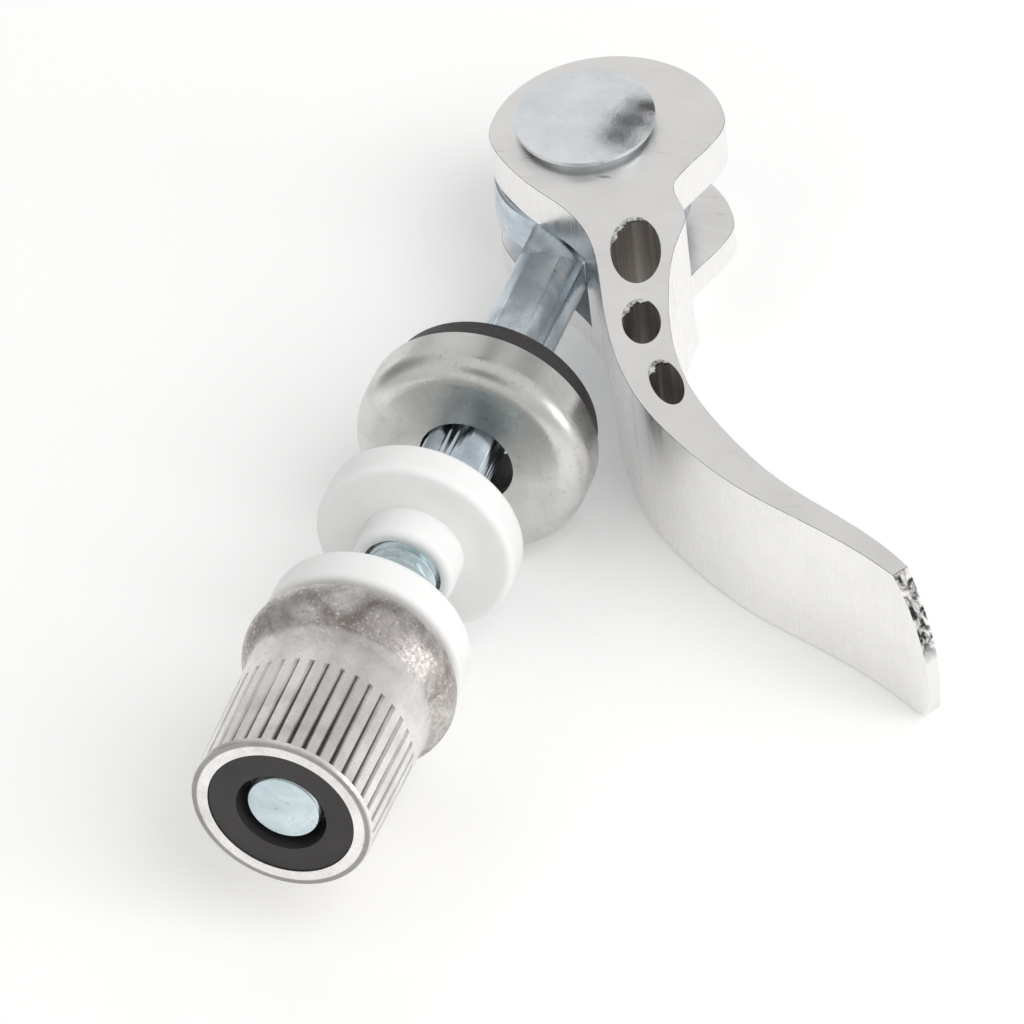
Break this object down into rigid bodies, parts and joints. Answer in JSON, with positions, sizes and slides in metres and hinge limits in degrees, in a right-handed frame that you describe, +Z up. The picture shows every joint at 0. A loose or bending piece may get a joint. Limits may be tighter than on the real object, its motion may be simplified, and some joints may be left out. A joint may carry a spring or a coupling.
{
  "type": "quick release seat clamp skewer",
  "caption": "Quick release for a seat clamp: curved cam lever on a threaded skewer, with cup washer, cam seat, white bushings and ribbed adjusting nut.",
  "frame": {"origin": "middle of the underside of the whole part as it lies on a bench", "axes": "+X along the skewer from the lever's pin to the nut, +Z up, along the lever's pin"},
  "size_m": [0.0896, 0.051, 0.0212],
  "materials": {
    "cam_lever": "brushed",
    "lever_pin": "zinc plated, satin",
    "skewer": "zinc plated, satin",
    "cup_washer": "zinc plated, pressed",
    "cam_seat": "moulded, matt",
    "cup_side_bushing": "moulded nylon",
    "nut_side_bushing": "moulded nylon",
    "adjusting_nut": "cast, mottled",
    "locking_ring": "moulded nylon"
  },
  "bodies": {
    "skewer": {"skewer": "skewer"},
    "lever": {"cam_lever": "cam_lever", "lever_pin": "lever_pin"},
    "cup": {"cup_washer": "cup_washer", "cam_seat": "cam_seat"},
    "cup_side_bushing": {"cup_side_bushing": "cup_side_bushing"},
    "nut_side_bushing": {"nut_side_bushing": "nut_side_bushing"},
    "ring": {"locking_ring": "locking_ring"},
    "nut": {"adjusting_nut": "adjusting_nut"}
  },
  "joints": [
    {"name": "lever_swing", "type": "hinge", "parent": "skewer", "child": "lever", "pos_m": [-0.03542, -0.01668, 0.00605], "axis": [0, 0, 1], "range_deg": [0, 270]},
    {"name": "cup_slide", "type": "slide", "parent": "skewer", "child": "cup", "axis": [0.9964, 0, 0.0848], "range_m": [-0.0044, 0.004]},
    {"name": "cup_side_bushing_slide", "type": "slide", "parent": "skewer", "child": "cup_side_bushing", "axis": [0.9964, 0, 0.0848], "range_m": [-0.004, 0.0019]},
    {"name": "nut_side_bushing_slide", "type": "slide", "parent": "skewer", "child": "nut_side_bushing", "axis": [0.9964, 0, 0.0848], "range_m": [-0.0019, 0]},
    {"name": "nut_travel", "type": "slide", "parent": "skewer", "child": "ring", "axis": [0.9964, 0, 0.0848], "range_m": [0, 0.00601]},
    {"name": "nut_spin", "type": "hinge", "parent": "ring", "child": "nut", "pos_m": [0.03515, -0.01638, 0.01321], "axis": [0.9964, 0, 0.0848], "range_deg": [0, 2160]}
  ],
  "couplings": [
    {"joint": "nut_travel", "follows": "nut_spin", "m_per_rad": 0.00015915}
  ]
}
